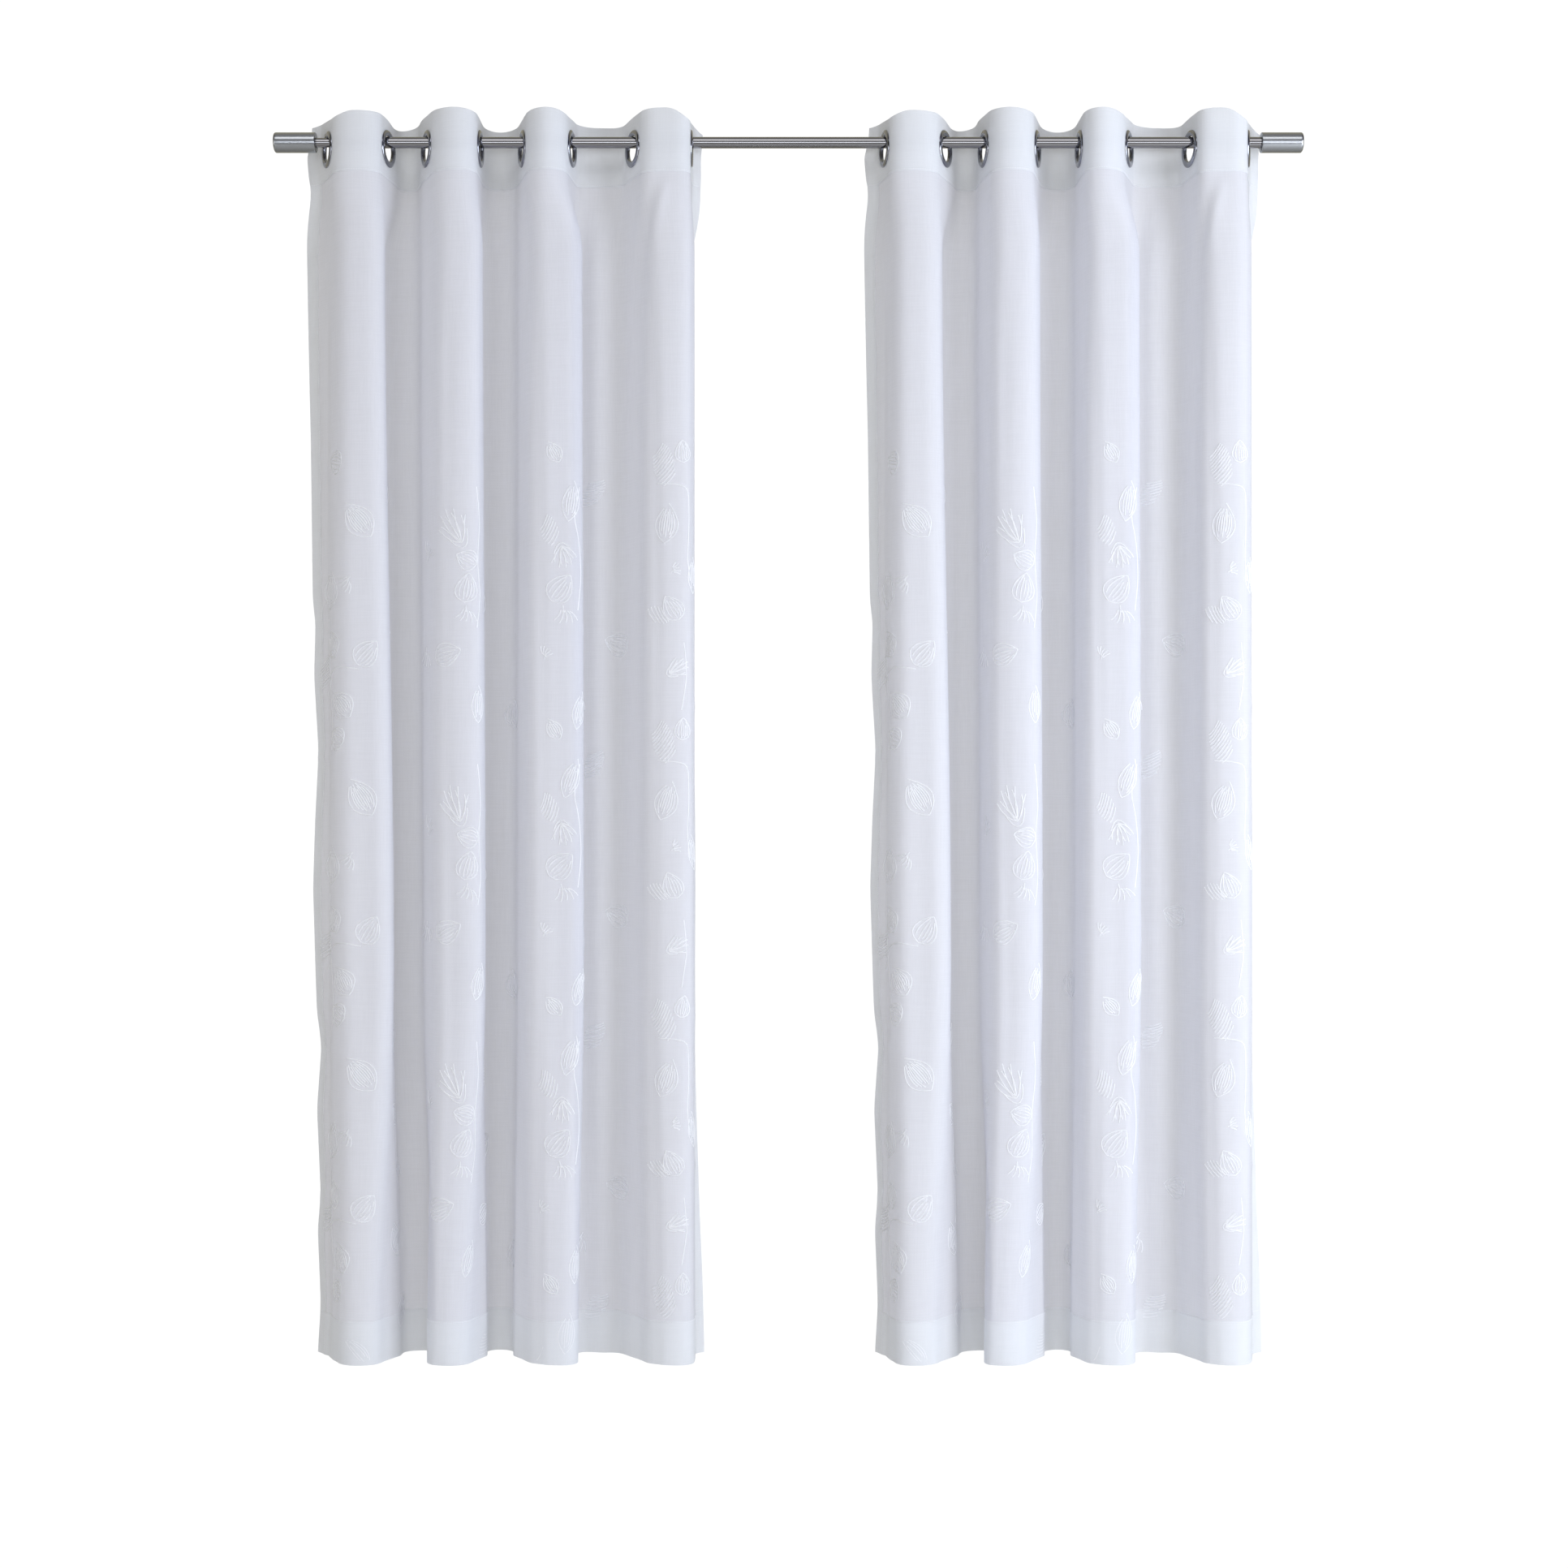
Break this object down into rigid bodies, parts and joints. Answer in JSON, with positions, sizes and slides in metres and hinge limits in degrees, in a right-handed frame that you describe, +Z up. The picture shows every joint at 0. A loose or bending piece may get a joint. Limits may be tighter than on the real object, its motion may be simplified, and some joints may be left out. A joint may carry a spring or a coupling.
{
  "type": "sheer voile curtain pair on a telescoping curtain rod",
  "caption": "Pair of sheer white voile eyelet curtain panels with embroidered leaves, hanging in deep folds from a telescoping metal rod with plain cylinder finials.",
  "frame": {"origin": "on the rod's axis at the middle of its length, where a centre bracket holds it", "axes": "+X along the rod towards the right finial, +Y towards the wall behind, +Z up; the room is on the -Y side"},
  "size_m": [1.771, 0.1347, 2.134],
  "materials": {
    "voile": "sheer white plain weave with white thread embroidery",
    "doubled_voile": "white voile in two layers",
    "dark_nickel_eyelet": "dark polished nickel plate",
    "polished_steel_tube": "polished",
    "brushed_nickel_finial": "brushed round the axis"
  },
  "bodies": {
    "curtains_and_outer_rod": {"left_panel": "voile", "left_heading": "doubled_voile", "left_eyelet_1": "dark_nickel_eyelet", "left_eyelet_2": "dark_nickel_eyelet", "left_eyelet_3": "dark_nickel_eyelet", "left_eyelet_4": "dark_nickel_eyelet", "left_eyelet_5": "dark_nickel_eyelet", "left_eyelet_6": "dark_nickel_eyelet", "left_eyelet_7": "dark_nickel_eyelet", "left_eyelet_8": "dark_nickel_eyelet", "right_panel": "voile", "right_heading": "doubled_voile", "right_eyelet_1": "dark_nickel_eyelet", "right_eyelet_2": "dark_nickel_eyelet", "right_eyelet_3": "dark_nickel_eyelet", "right_eyelet_4": "dark_nickel_eyelet", "right_eyelet_5": "dark_nickel_eyelet", "right_eyelet_6": "dark_nickel_eyelet", "right_eyelet_7": "dark_nickel_eyelet", "right_eyelet_8": "dark_nickel_eyelet", "rod_outer_tube": "polished_steel_tube", "right_finial": "brushed_nickel_finial"},
    "inner_rod": {"rod_inner_tube": "polished_steel_tube", "left_finial": "brushed_nickel_finial"}
  },
  "joints": [
    {"name": "rod_extension", "type": "slide", "parent": "curtains_and_outer_rod", "child": "inner_rod", "axis": [-1, 0, 0], "range_m": [0, 0.36]}
  ]
}
